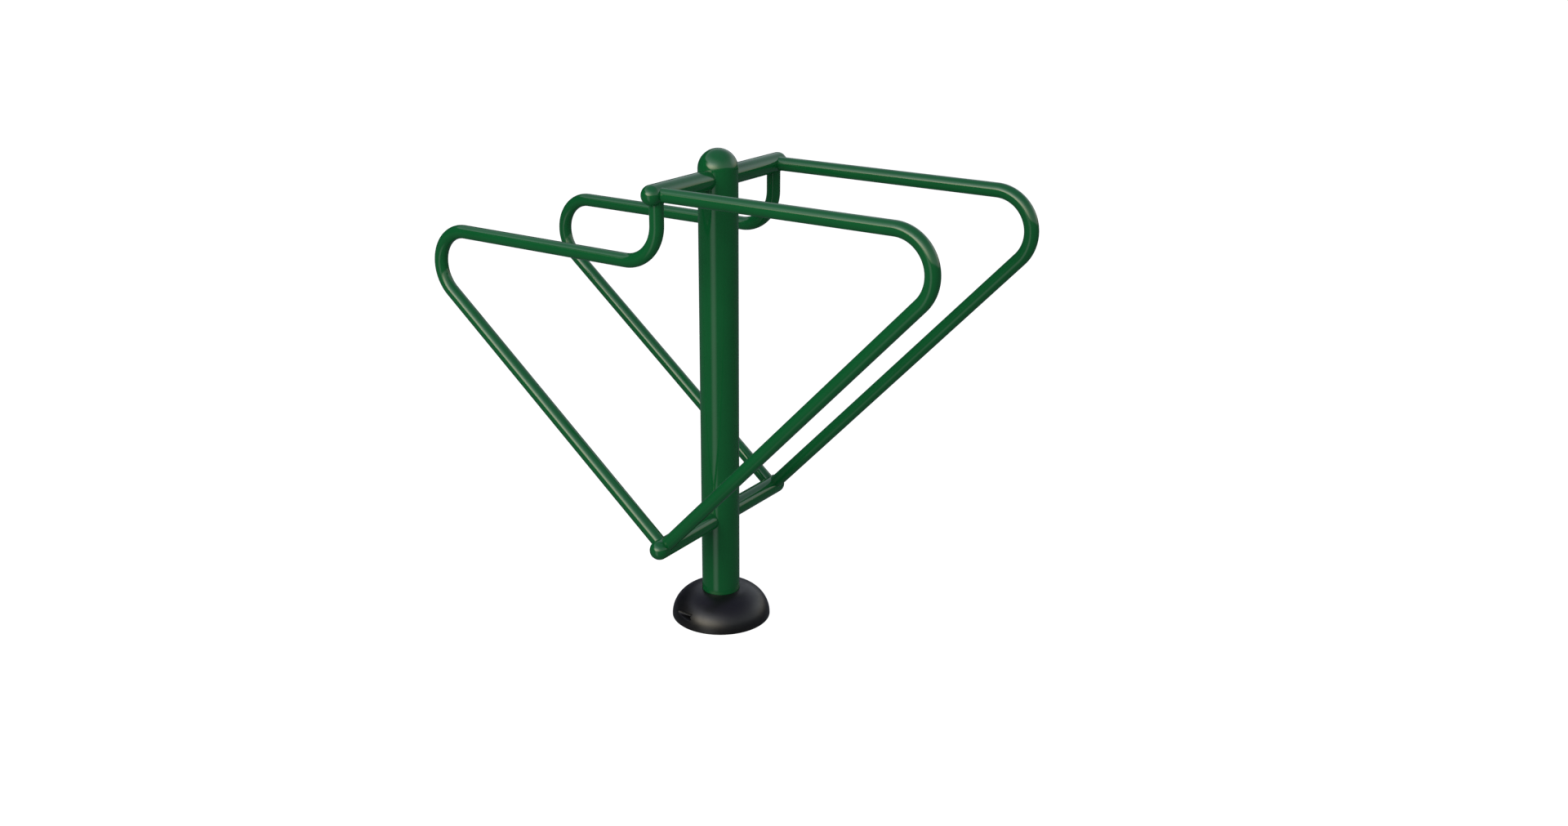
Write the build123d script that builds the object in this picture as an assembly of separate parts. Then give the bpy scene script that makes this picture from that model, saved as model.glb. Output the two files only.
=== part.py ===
from build123d import *
import math
import os

# Outdoor push-up and dip station of welded steel tube, in millimetres.
# Z is up and Z = 0 is the ground. The origin is on the post's axis.
# The arms lie along X. The dip bars reach towards -Y and the push-up bars towards +Y.
# A person who stands between the dip bars and looks at the post has -X on the left.

# Post
post_diameter = 114.3
post_wall = 3.6
seam_above_upper_arm = 25.3  # from the upper arms' axis up to the seam of the domed cap

# Arms that carry the bars on both sides of the post
arm_diameter = 57.0
arm_wall = 2.9
upper_arm_height = 1349.0
lower_arm_height = 326.5

# Bars: bent tubes that run from the upper arm out to a hairpin bend and back to the lower arm
bar_diameter = 40.0
bar_wall = 2.6
bar_spacing = 560.0  # between the middles of the left and the right bar
dip_bar_reach = 822.0  # from the post's axis to the farthest point of the tube's centreline
push_up_bar_reach = 822.0
push_up_bar_drop = 192.8  # the level run lies this far below the upper arms' axis
end_bend_radius = 106.0
drop_bend_radius = 110.5

# Round flange under the post, hidden by the cover
flange_diameter = 240.0
flange_thickness = 12.0
anchor_count = 4
anchor_circle_diameter = 190.0
anchor_hole_diameter = 18.0
drain_hole_diameter = 50.0  # lets zinc and water run out of the post

# Upright gusset plates between the anchor holes
gusset_reach = 45.0
gusset_height = 50.0
gusset_thickness = 8.0
gusset_edge = 14.0  # width left at the plate's top and at its outer end
gusset_root_cut = 10.0  # corner cut away where the post meets the flange

# Domed plastic cover of two equal halves that meet on the plane Y = 0
cover_diameter = 300.0
cover_height = 86.5
cover_wall = 3.0
cover_clearance = 0.5  # between the cover's sleeve and the post
sleeve_length = 14.0
sleeve_wall = 3.0
collar_edge_radius = 1.0  # rounding of the edge next to the post

# Wedge-shaped pocket for the screw's head, one in each half
screw_boss_length = 12.0  # from the plane where the halves meet to the pocket's end wall
pocket_back_radius = 122.0  # from the post's axis to the deepest line, where the roof begins
pocket_back_height = 35.7  # from the ground up to that line
pocket_roof_slope = 34.0  # degrees, rising outwards
pocket_wall_lean = 33.0  # degrees, how far the back wall under that line leans from upright
pocket_corner_radius = 6.0  # rounding where the back wall runs into the floor
pocket_floor_fall = 12.0  # degrees, falling outwards so that rain runs out
pocket_rim_height = 25.2  # from the ground up to the floor's plane at the cover's radius
pocket_edge_radius = 1.8  # rounding where the pocket breaks through the dome

# Screws that hold the halves together, and the brass inserts that they turn into
screw_diameter = 5.0
screw_hole_clearance = 0.5
screw_head_diameter = 9.5
screw_head_height = 3.4
screw_head_rounding = 1.6
hex_key_size = 3.0
hex_key_depth = 2.0
screw_radius_from_post = 135.5
screw_height = 34.0
insert_diameter = 7.0
insert_length = 8.0
insert_hole_extra = 2.0

# Extra length of every cutting solid past the face that it cuts
overrun = 5.0

# Sizes that follow from the ones above
post_radius = post_diameter / 2
arm_radius = arm_diameter / 2
bar_radius = bar_diameter / 2
seam_height = upper_arm_height + seam_above_upper_arm
arm_end = bar_spacing / 2 + bar_radius
cover_radius = cover_diameter / 2
collar_radius = post_radius + cover_clearance
SIDES = {"left": -1, "right": 1}
ARM_HEIGHTS = {"upper": upper_arm_height, "lower": lower_arm_height}
os.makedirs("parts", exist_ok=True)


def save(name, solid):
    """Write one sub-part to its own file."""
    solid.label = name
    export_step(solid, f"parts/{name}.step")


def rod_along_x(radius, start, end, height):
    """A solid round rod parallel to X, above the post's axis line."""
    middle = (start + end) / 2
    return Pos(middle, 0, height) * Rot(0, 90, 0) * Cylinder(radius, abs(end - start))


def post_envelope():
    """Everything inside the outer surface of the post and its cap, for coping what meets it."""
    shaft = Cylinder(post_radius, seam_height, align=(Align.CENTER, Align.CENTER, Align.MIN))
    return shaft + Pos(0, 0, seam_height) * Sphere(post_radius)


def arm_envelope(height):
    """Everything inside the outer surface of both arms at one height."""
    return rod_along_x(arm_radius, -arm_end, arm_end, height)


def dome(radius, wall):
    """A half ball shell that opens towards -Z, with its seam on the plane Z = 0."""
    outside = Sphere(radius, arc_size1=0, align=None)
    return outside - Sphere(radius - wall)


def make_post():
    """The upright tube and the domed cap that closes it."""
    length = seam_height - flange_thickness
    on_flange = (Align.CENTER, Align.CENTER, Align.MIN)
    shaft = Cylinder(post_radius, length, align=on_flange)
    shaft -= Cylinder(post_radius - post_wall, length, align=on_flange)
    save("post_tube", Pos(0, 0, flange_thickness) * shaft)
    save("post_dome_cap", Pos(0, 0, seam_height) * dome(post_radius, post_wall))


def make_arms():
    """Four arm tubes coped to the post, each with a half ball cap on its outer end."""
    for level, height in ARM_HEIGHTS.items():
        for side, sign in SIDES.items():
            arm = rod_along_x(arm_radius, 0, sign * arm_end, height)
            arm -= rod_along_x(arm_radius - arm_wall, 0, sign * arm_end, height)
            save(f"{level}_arm_{side}", arm - post_envelope())
            cap = Rot(0, 90 * sign, 0) * dome(arm_radius, arm_wall)
            save(f"{level}_arm_cap_{side}", Pos(sign * arm_end, 0, height) * cap)


def bar_centreline(run_height, reach, drops_first):
    """The bent line of one bar, drawn with outwards as the first and up as the second direction."""
    run_end = reach - end_bend_radius
    rise = run_height - end_bend_radius - lower_arm_height
    distance = math.hypot(run_end, rise)
    slope = math.degrees(math.atan2(rise, run_end) - math.asin(end_bend_radius / distance))
    pieces = []
    run_start = (0, run_height)
    if drops_first:
        drop = Line((0, upper_arm_height), (0, run_height + drop_bend_radius))
        turn = JernArc(drop @ 1, drop % 1, drop_bend_radius, 90)
        pieces += [drop, turn]
        run_start = turn @ 1
    run = Line(run_start, (run_end, run_height))
    hairpin = JernArc(run @ 1, run % 1, end_bend_radius, slope - 180)
    leg = Line(hairpin @ 1, (0, lower_arm_height))
    return Wire(pieces + [run, hairpin, leg])


def sweep_round(path, radius):
    """A solid round rod along a path."""
    return sweep(Plane(origin=path @ 0, z_dir=path % 0) * Circle(radius), path=path)


def make_bars():
    """Four bars, coped to both arms, and the push-up bars also to the dip bars."""
    push_up_height = upper_arm_height - push_up_bar_drop
    for side, sign in SIDES.items():
        across = sign * bar_spacing / 2
        dip_plane = Plane(origin=(across, 0, 0), x_dir=(0, -1, 0), z_dir=(-1, 0, 0))
        push_up_plane = Plane(origin=(across, 0, 0), x_dir=(0, 1, 0), z_dir=(1, 0, 0))
        dip_path = dip_plane * bar_centreline(upper_arm_height, dip_bar_reach, False)
        push_up_path = push_up_plane * bar_centreline(push_up_height, push_up_bar_reach, True)
        arms = arm_envelope(upper_arm_height) + arm_envelope(lower_arm_height)
        dip_rod = sweep_round(dip_path, bar_radius)
        dip_bar = dip_rod - sweep_round(dip_path, bar_radius - bar_wall) - arms
        save(f"dip_bar_{side}", dip_bar)
        push_up_bar = sweep_round(push_up_path, bar_radius)
        push_up_bar -= sweep_round(push_up_path, bar_radius - bar_wall)
        save(f"push_up_bar_{side}", push_up_bar - arms - dip_rod)


def make_base():
    """The anchored flange and the gusset plates that stiffen the post's foot."""
    on_ground = (Align.CENTER, Align.CENTER, Align.MIN)
    flange = Cylinder(flange_diameter / 2, flange_thickness, align=on_ground)
    flange -= Cylinder(drain_hole_diameter / 2, flange_thickness, align=on_ground)
    half_step = 180 / anchor_count
    places = PolarLocations(anchor_circle_diameter / 2, anchor_count, start_angle=half_step)
    flange -= places * Cylinder(anchor_hole_diameter / 2, flange_thickness, align=on_ground)
    save("base_flange", flange)

    foot = flange_thickness
    top = foot + gusset_height
    inner = post_radius - overrun
    outer = post_radius + gusset_reach
    outline = Polyline(
        (inner, foot + gusset_root_cut),
        (post_radius, foot + gusset_root_cut),
        (post_radius + gusset_root_cut, foot),
        (outer, foot),
        (outer, foot + gusset_edge),
        (post_radius + gusset_edge, top),
        (inner, top),
        close=True,
    )
    plate = extrude(Plane.XZ * make_face(outline), gusset_thickness / 2, both=True)
    plate -= post_envelope()
    for number in range(anchor_count):
        turned = Rot(0, 0, 2 * half_step * number) * plate
        save(f"gusset_{number + 1}", turned)


def cover_dome(wall):
    """The solid of revolution under the cover's surface, or under its inner face."""
    across = cover_radius - collar_radius - wall
    height = cover_height - wall
    curve = EllipticalCenterArc((collar_radius, 0), across, height, arc_size=90)
    sides = Polyline(curve @ 1, (0, height), (0, 0), curve @ 0)
    return revolve(Plane.XZ * make_face(curve + sides), Axis.Z)


def pocket_prism(start, end, skin):
    """The pocket's wedge from one Y to another on the -X side, grown outwards by a skin."""
    rise = math.tan(math.radians(pocket_roof_slope))
    lean = math.tan(math.radians(pocket_wall_lean))
    fall = math.tan(math.radians(pocket_floor_fall))
    depth = cover_radius - pocket_back_radius
    wall_share = 1 - lean * fall
    wall_height = (pocket_back_height - pocket_rim_height - depth * fall) / wall_share
    wall_foot = (-pocket_back_radius - wall_height * lean, pocket_back_height - wall_height)
    outline = Polyline(
        wall_foot,
        (-pocket_back_radius, pocket_back_height),
        (-cover_radius - overrun, pocket_back_height + (depth + overrun) * rise),
        (-cover_radius - overrun, pocket_rim_height - overrun * fall),
        close=True,
    )
    section = make_face(outline)
    corner = section.vertices().sort_by_distance(wall_foot)[0]
    section = fillet(corner, pocket_corner_radius)
    if skin:
        section = offset(section, skin, kind=Kind.INTERSECTION)
    wedge = extrude(Plane.XZ * section, -(end - start))
    return Pos(0, start, 0) * wedge


def rod_along_y(radius, start, end, across, height):
    """A solid round rod parallel to Y between two places."""
    middle = (start + end) / 2
    return Pos(across, middle, height) * Rot(90, 0, 0) * Cylinder(radius, abs(end - start))


def cover_half():
    """The half on the +Y side: its pocket and screw are at -X, and its insert is at +X."""
    full_dome = cover_dome(0)
    on_end = (Align.CENTER, Align.CENTER, Align.MAX)
    sleeve_top = cover_height - cover_wall
    sleeve = Cylinder(collar_radius + sleeve_wall, sleeve_length, align=on_end)
    shell = full_dome - cover_dome(cover_wall) + Pos(0, 0, sleeve_top) * sleeve

    boss = pocket_prism(-screw_boss_length, cover_radius, cover_wall)
    mating_boss = Rot(0, 0, 180) * pocket_prism(-screw_boss_length, 0, cover_wall)
    shell += full_dome & boss
    shell += full_dome & mating_boss
    shell -= Cylinder(collar_radius, 2 * (cover_height + overrun))
    pocket = pocket_prism(screw_boss_length, cover_radius + overrun, 0)
    open_shell = shell - pocket
    mouth = new_edges(shell, pocket, combined=open_shell)
    shell = fillet(mouth, pocket_edge_radius)
    collar = shell.edges().filter_by(GeomType.CIRCLE).group_by(Axis.Z)[-1]
    shell = fillet(collar, collar_edge_radius)

    hole_radius = (screw_diameter + screw_hole_clearance) / 2
    past_boss = screw_boss_length + overrun
    shell -= rod_along_y(hole_radius, -overrun, past_boss, -screw_radius_from_post, screw_height)
    insert_depth = insert_length + insert_hole_extra
    shell -= rod_along_y(
        insert_diameter / 2, -overrun, insert_depth, screw_radius_from_post, screw_height
    )
    reach = cover_radius + overrun
    half_space = Pos(0, reach, 0) * Box(2 * reach, 2 * reach, 2 * (cover_height + overrun))
    return shell & half_space


def cover_screw():
    """A round-headed screw with a hexagon socket, with its head in the pocket at -X."""
    head_top = screw_boss_length + screw_head_height
    place = (-screw_radius_from_post, screw_height)
    head = rod_along_y(screw_head_diameter / 2, screw_boss_length, head_top, *place)
    head = fillet(head.edges().sort_by(Axis.Y)[-1], screw_head_rounding)
    socket = extrude(RegularPolygon(hex_key_size / 2, 6, major_radius=False), hex_key_depth + overrun)
    head -= Pos(place[0], head_top - hex_key_depth, place[1]) * Rot(-90, 0, 0) * socket
    shank = rod_along_y(screw_diameter / 2, -insert_length, screw_boss_length, *place)
    return head + shank


def screw_insert():
    """The threaded brass sleeve in the other half, in line with the screw."""
    place = (-screw_radius_from_post, screw_height)
    sleeve = rod_along_y(insert_diameter / 2, -insert_length, 0, *place)
    return sleeve - rod_along_y(screw_diameter / 2, -insert_length - overrun, overrun, *place)


def make_cover():
    """Both halves of the cover with their screws and inserts: the second set is turned half round."""
    half = cover_half()
    half_turn = Rot(0, 0, 180)
    save("cover_half_rear", half)
    save("cover_half_front", half_turn * half)
    save("cover_screws", Compound([cover_screw(), half_turn * cover_screw()]))
    save("cover_inserts", Compound([screw_insert(), half_turn * screw_insert()]))


make_post()
make_arms()
make_bars()
make_base()
make_cover()
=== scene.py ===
# %% [markdown]
# # Outdoor push-up and dip station
# The object is a welded station of steel tube that stands in parks. One thick post carries two
# levels of cross arms, and on each side bent tubes run from the upper arm out to a hairpin bend
# and back to the lower arm. The level bars at the height of the upper arm are for dips, and the
# lower ones on the other side are for push-ups. All the steel wears one glossy green powder coat,
# and a black plastic cover hides the bolts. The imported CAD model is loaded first. It is the fixed
# frame that every piece below is built around.

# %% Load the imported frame
import bmesh
import bpy
import math
import numpy as np
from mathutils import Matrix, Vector


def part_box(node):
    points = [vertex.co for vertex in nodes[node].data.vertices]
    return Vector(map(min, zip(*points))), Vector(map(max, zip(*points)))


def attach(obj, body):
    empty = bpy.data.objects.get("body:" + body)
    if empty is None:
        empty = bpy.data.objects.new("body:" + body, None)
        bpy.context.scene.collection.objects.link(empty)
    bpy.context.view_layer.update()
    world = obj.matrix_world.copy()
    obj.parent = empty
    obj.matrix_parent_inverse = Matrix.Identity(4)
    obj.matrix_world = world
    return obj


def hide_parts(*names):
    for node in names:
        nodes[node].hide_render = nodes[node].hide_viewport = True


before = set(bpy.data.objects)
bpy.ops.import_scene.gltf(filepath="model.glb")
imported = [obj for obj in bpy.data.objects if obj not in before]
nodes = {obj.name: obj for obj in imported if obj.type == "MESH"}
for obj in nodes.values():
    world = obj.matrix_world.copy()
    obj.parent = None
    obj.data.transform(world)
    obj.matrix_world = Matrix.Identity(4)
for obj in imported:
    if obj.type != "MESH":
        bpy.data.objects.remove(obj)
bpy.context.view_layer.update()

# %% [markdown]
# The sizes come from the frame itself, so that a piece always fits the CAD node that it dresses. A
# node's box gives diameters, heights and reaches. The height of the lower level run is read from
# the node's own vertices where the hairpin bend starts. Only the two bend radii and the post's wall
# are written down, because no box shows them. All lengths are in metres.

# %% Read the tube sizes from the frame
LEFT_AND_RIGHT = {"left": -1, "right": 1}
OUTWARDS = {"dip": -1, "push_up": 1}
POST_WALL = 0.0036
END_BEND, DROP_BEND = 0.106, 0.1105
BEND_START_TOLERANCE = 0.001

post_low, post_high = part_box("post_tube")
FOOT, SEAM, POST_RADIUS = post_low.z, post_high.z, post_high.x
arm_low, arm_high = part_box("upper_arm_right")
ARM_RADIUS, ARM_END = (arm_high.y - arm_low.y) / 2, arm_high.x
ARM_HEIGHTS = {
    level: (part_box(f"{level}_arm_right")[0].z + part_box(f"{level}_arm_right")[1].z) / 2
    for level in ("upper", "lower")
}
dip_low, dip_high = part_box("dip_bar_right")
BAR_RADIUS = (dip_high.x - dip_low.x) / 2
BAR_PLACE = dip_high.x - BAR_RADIUS
REACHES = {"dip": -dip_low.y - BAR_RADIUS, "push_up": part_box("push_up_bar_right")[1].y - BAR_RADIUS}


def vertices_of(mesh):
    """The places of a mesh's vertices, as rows of numbers."""
    places = np.empty(len(mesh.vertices) * 3)
    mesh.vertices.foreach_get("co", places)
    return places.reshape(-1, 3)


push_up_places = vertices_of(nodes["push_up_bar_right"].data)
from_bend = np.abs(push_up_places[:, 1] - (REACHES["push_up"] - END_BEND))
run_top = push_up_places[from_bend < BEND_START_TOLERANCE, 2].max()
RUN_HEIGHTS = {"dip": ARM_HEIGHTS["upper"], "push_up": run_top - BAR_RADIUS}
print("post radius", round(POST_RADIUS, 5), "arms", round(ARM_RADIUS, 5), ARM_HEIGHTS)
print("bars", round(BAR_RADIUS, 5), "at", round(BAR_PLACE, 4), REACHES, RUN_HEIGHTS)

# %% [markdown]
# The camera stands where the photographer's did. Its place, direction and lens were found by
# fitting a pinhole camera to the outlines of the tubes in the photograph, which is 1920 by 1011
# pixels. A small shift stands for the crop, because the middle of the lens isn't the middle of the
# picture.

# %% Camera
PICTURE_WIDTH, PICTURE_HEIGHT = 1920, 1011
LENS_MIDDLE = (918.44, 507.31)
CAMERA_PLACE = (-3.2786, -2.3540, 2.1130)
LOOKS_DOWN, HEADING = 19.943, -55.589


def add_object(name, data):
    """Puts a mesh, a camera or a lamp into the scene as an object."""
    made = bpy.data.objects.new(name, data)
    bpy.context.scene.collection.objects.link(made)
    return made


camera_data = bpy.data.cameras.new("photo_camera")
camera_data.sensor_width = 36
camera_data.lens = 33.478
camera_data.shift_x = (PICTURE_WIDTH / 2 - LENS_MIDDLE[0]) / PICTURE_WIDTH
camera_data.shift_y = (LENS_MIDDLE[1] - PICTURE_HEIGHT / 2) / PICTURE_WIDTH
camera_data.clip_end = 300
camera = add_object("photo_camera", camera_data)
camera.location = CAMERA_PLACE
camera.rotation_euler = (math.radians(90 - LOOKS_DOWN), 0, math.radians(HEADING))
bpy.context.scene.camera = camera
bpy.context.scene.view_settings.view_transform = "Standard"
print("camera shift", round(camera_data.shift_x, 5), round(camera_data.shift_y, 5))

# %% [markdown]
# Every material and light is a small node tree. One helper adds a node, sets its fields and inputs,
# and returns it. Another turns a hex colour as a paint chart gives it into the linear numbers that
# Blender calculates with, by the steps that the sRGB standard gives.


# %% Helpers for colours and nodes
def linear(hex_colour):
    """An sRGB hex colour as linear red, green, blue and alpha."""
    channels = [int(hex_colour[i:i + 2], 16) / 255 for i in (1, 3, 5)]
    turned = [c / 12.92 if c <= 0.04045 else ((c + 0.055) / 1.055) ** 2.4 for c in channels]
    return (*turned, 1.0)


def empty_tree(owner):
    """Gives a material or a world a node tree with nothing in it."""
    owner.use_nodes = True
    owner.node_tree.nodes.clear()
    return owner.node_tree


def add_node(tree, kind, inputs=None, **fields):
    """Adds a node, sets its fields, and fills its inputs by name or by number.

    An input takes a value, a socket to link from, or a node, which gives its first live output.
    """
    node = tree.nodes.new(kind)
    for field, value in fields.items():
        setattr(node, field, value)
    live = [socket for socket in node.inputs if socket.enabled]
    for name, value in (inputs or {}).items():
        socket = live[name] if isinstance(name, int) else next(s for s in live if s.name == name)
        if isinstance(value, bpy.types.Node):
            value = next(s for s in value.outputs if s.enabled)
        if isinstance(value, bpy.types.NodeSocket):
            tree.links.new(value, socket)
        else:
            socket.default_value = value
    return node


print("one green chip:", [round(c, 4) for c in linear("#0E5128")])

# %% [markdown]
# The photograph has a pure white background. The floor here is a plain pale sheet. A floor lit to
# white would need so much light that the station itself bleaches. Instead the camera alone sees a
# white glow on top of the floor's own shade, so that it reads as white paper and still keeps a
# faint shadow under the cover. The light that comes up from the ground is part of the world below,
# so the sheet itself is hidden from diffuse and glossy rays.

# %% Floor
FLOOR_HALF_WIDTH = 60
SHEET_GREY, SHEET_GLOW = 0.26, 0.89
WHITE = (1, 1, 1, 1)

corners = [(-1, -1), (1, -1), (1, 1), (-1, 1)]
floor_mesh = bpy.data.meshes.new("studio_floor")
floor_mesh.from_pydata(
    [(x * FLOOR_HALF_WIDTH, y * FLOOR_HALF_WIDTH, 0) for x, y in corners], [], [(0, 1, 2, 3)]
)
floor = add_object("studio_floor", floor_mesh)
paper = bpy.data.materials.new("white background paper")
tree = empty_tree(paper)
sheet_shade = add_node(
    tree, "ShaderNodeBsdfDiffuse", {"Color": (SHEET_GREY, SHEET_GREY, SHEET_GREY, 1)}
)
sheet_glow = add_node(tree, "ShaderNodeEmission", {"Color": WHITE, "Strength": SHEET_GLOW})
both = add_node(tree, "ShaderNodeAddShader", {0: sheet_shade, 1: sheet_glow})
for_camera = add_node(tree, "ShaderNodeLightPath").outputs["Is Camera Ray"]
seen = add_node(tree, "ShaderNodeMixShader", {0: for_camera, 1: sheet_shade, 2: both})
add_node(tree, "ShaderNodeOutputMaterial", {"Surface": seen})
floor_mesh.materials.append(paper)
floor.visible_diffuse = False
floor.visible_glossy = False
print("floor:", 2 * FLOOR_HALF_WIDTH, "m wide")

# %% [markdown]
# The world is white for the camera, and also for rays that come off metal or through glass. For the
# soft light on the surfaces it is a plain studio: a pale ceiling above, and a ground half as bright
# below. How bright each part is was read off the photograph, from how light the paint is on the
# sides of the tubes that face it.

# %% World light
GROUND_LIGHT, CEILING_LIGHT = (0.38, 0.38, 0.38, 1), (0.71, 0.73, 0.76, 1)
CEILING_EDGE = (-0.05, 0.15)

world = bpy.data.worlds.new("soft studio")
bpy.context.scene.world = world
tree = empty_tree(world)
rays = add_node(tree, "ShaderNodeLightPath").outputs
plain = rays["Is Camera Ray"]
for kind in ("Is Glossy Ray", "Is Transmission Ray"):
    plain = add_node(tree, "ShaderNodeMath", {0: plain, 1: rays[kind]}, operation="MAXIMUM")
direction = add_node(tree, "ShaderNodeTexCoord").outputs["Generated"]
height = add_node(tree, "ShaderNodeSeparateXYZ", {0: direction}).outputs["Z"]
ceiling = add_node(
    tree, "ShaderNodeMapRange",
    {"Value": height, "From Min": CEILING_EDGE[0], "From Max": CEILING_EDGE[1]},
    interpolation_type="SMOOTHSTEP",
)
soft = add_node(
    tree, "ShaderNodeMix", {"Factor": ceiling, "A": GROUND_LIGHT, "B": CEILING_LIGHT},
    data_type="RGBA",
)
soft_light = add_node(tree, "ShaderNodeBackground", {"Color": soft, "Strength": 1.0})
white = add_node(tree, "ShaderNodeBackground", {"Color": WHITE, "Strength": 1.0})
mixed = add_node(tree, "ShaderNodeMixShader", {0: plain, 1: soft_light, 2: white})
add_node(tree, "ShaderNodeOutputWorld", {"Surface": mixed})
world.cycles.sampling_method = "NONE"
print("ground to ceiling light:", round(GROUND_LIGHT[0] / CEILING_LIGHT[0], 2))

# %% [markdown]
# One large soft box shapes the tubes. It stands to the left of the picture, a little above the
# station, and its light is slightly warm. It is hidden from glossy rays, because the next cells
# give the paint what it mirrors. Directions are compass degrees, from +Y towards +X.

# %% Lamp
STATION_MIDDLE = Vector((0, 0, 0.75))
KEY_AZIMUTH, KEY_ELEVATION = math.radians(272), math.radians(24)
KEY_DISTANCE = 6.0

key_data = bpy.data.lights.new("key_soft_box", "AREA")
key_data.shape = "SQUARE"
key_data.size = 3.2
key_data.energy = 243
key_data.color = (1.0, 0.97, 0.90)
key_lamp = add_object("key_soft_box", key_data)
level_part = math.cos(KEY_ELEVATION) * KEY_DISTANCE
lamp_offset = Vector((
    math.sin(KEY_AZIMUTH) * level_part,
    math.cos(KEY_AZIMUTH) * level_part,
    math.sin(KEY_ELEVATION) * KEY_DISTANCE,
))
key_lamp.location = STATION_MIDDLE + lamp_offset
key_lamp.rotation_euler = lamp_offset.to_track_quat("Z", "Y").to_euler()
key_lamp.visible_glossy = False
print("lamp at", [round(v, 2) for v in key_lamp.location])

# %% [markdown]
# Glossy paint is mostly what it mirrors. Pure white all round would wash its green out, and the
# photograph shows something else in the paint: a dim ground with a skyline of low hills, a bright
# warm glow over the skyline to the left, a weak cool one to the right, a blue-grey sky above, a
# dark gap where the paint mirrors nothing, and one soft upright streak below the glow. A
# photographer hangs a tent round glossy things for this. The one here is a wide ball, painted by
# compass direction and by height in degrees. Only glossy rays see it, so it adds no light to the
# object and doesn't show in the background.

# %% Reflection tent and its directions
TENT_RADIUS = 60

tent_form = bmesh.new()
bmesh.ops.create_icosphere(tent_form, subdivisions=5, radius=TENT_RADIUS)
tent_mesh = bpy.data.meshes.new("reflection_tent")
tent_form.to_mesh(tent_mesh)
tent_form.free()
tent = add_object("reflection_tent", tent_mesh)
for rays_off in ("camera", "diffuse", "transmission", "volume_scatter", "shadow"):
    setattr(tent, f"visible_{rays_off}", False)

cloth = bpy.data.materials.new("lit tent cloth")
tent_tree = empty_tree(cloth)
tent_mesh.materials.append(cloth)
place = add_node(tent_tree, "ShaderNodeTexCoord").outputs["Object"]
tent_direction = add_node(tent_tree, "ShaderNodeVectorMath", {0: place}, operation="NORMALIZE")
height = add_node(tent_tree, "ShaderNodeSeparateXYZ", {0: tent_direction}).outputs["Z"]
up_angle = add_node(tent_tree, "ShaderNodeMath", {0: height}, operation="ARCSINE")
up_degrees = add_node(tent_tree, "ShaderNodeMath", {0: up_angle}, operation="DEGREES")


def compass_offset(azimuth):
    """How many degrees a direction lies from a compass direction, either way round."""
    turned = add_node(
        tent_tree, "ShaderNodeVectorRotate",
        {"Vector": tent_direction, "Angle": math.radians(azimuth)}, rotation_type="Z_AXIS",
    )
    parts = add_node(tent_tree, "ShaderNodeSeparateXYZ", {0: turned}).outputs
    angle = add_node(
        tent_tree, "ShaderNodeMath", {0: parts["X"], 1: parts["Y"]}, operation="ARCTAN2"
    )
    degrees = add_node(tent_tree, "ShaderNodeMath", {0: angle}, operation="DEGREES")
    return add_node(tent_tree, "ShaderNodeMath", {0: degrees}, operation="ABSOLUTE")


print("tent faces:", len(tent_mesh.polygons))

# %% [markdown]
# The sky passes from pale at the skyline to blue-grey overhead. The ground is everything below the
# skyline, which is level but for three hills. Each hill is full within some degrees of its compass
# direction and runs out further round.

# %% Sky, skyline and ground
LOW_SKY, HIGH_SKY = (0.80, 0.86, 0.92, 1), (0.25, 0.245, 0.42, 1)
LEVEL_SKYLINE = 2.0
HILLS = (  # compass direction, where the hill is full and where it ends, and its rise, in degrees
    (0, (15, 95), 31.5),
    (200, (5, 80), 10),
    (274, (10, 60), 2),
)

sky = add_node(
    tent_tree, "ShaderNodeMapRange", {"Value": up_degrees, "From Min": 12, "From Max": 62},
    interpolation_type="SMOOTHSTEP",
)
picture = add_node(
    tent_tree, "ShaderNodeMix", {"Factor": sky, "A": LOW_SKY, "B": HIGH_SKY}, data_type="RGBA"
)
skyline = LEVEL_SKYLINE
for azimuth, (full, end), rise in HILLS:
    hill = add_node(
        tent_tree, "ShaderNodeMapRange",
        {"Value": compass_offset(azimuth), "From Min": full, "From Max": end,
         "To Min": rise, "To Max": 0},
        interpolation_type="SMOOTHSTEP",
    )
    skyline = add_node(tent_tree, "ShaderNodeMath", {0: hill, 1: skyline}, operation="ADD")
below = add_node(tent_tree, "ShaderNodeMath", {0: skyline, 1: up_degrees}, operation="SUBTRACT")
ground = add_node(
    tent_tree, "ShaderNodeMapRange", {"Value": below, "From Min": -2.0, "From Max": 2.0},
    interpolation_type="SMOOTHSTEP",
)
print("highest hill:", LEVEL_SKYLINE + max(rise for _, _, rise in HILLS), "degrees")

# %% [markdown]
# The glows, the warm haze, the dark gap and the streak are soft patches, laid over the sky one
# after the other. They could be lamps, but a patch has its own soft edge on each side, as a real
# glow has, and it can be darker than what lies under it. The ground covers the first five patches,
# and the last two lie over the ground.


# %% Patches on the tent
def soft_patch(strength, azimuth, across, rise, fall):
    """A patch of the tent with soft edges: the strength in its middle, and 0 outside it.

    Each pair is the degrees between which an edge fades: across from the compass direction to
    both sides, and upwards where the patch rises and where it falls off again.
    """
    share = strength
    for angle, (start, end), low, high in (
        (compass_offset(azimuth), across, 1, 0), (up_degrees, rise, 0, 1), (up_degrees, fall, 1, 0)
    ):
        edge = add_node(
            tent_tree, "ShaderNodeMapRange",
            {"Value": angle, "From Min": start, "From Max": end, "To Min": low, "To Max": high},
            interpolation_type="SMOOTHSTEP",
        )
        share = add_node(tent_tree, "ShaderNodeMath", {0: edge, 1: share}, operation="MULTIPLY")
    return share


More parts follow.
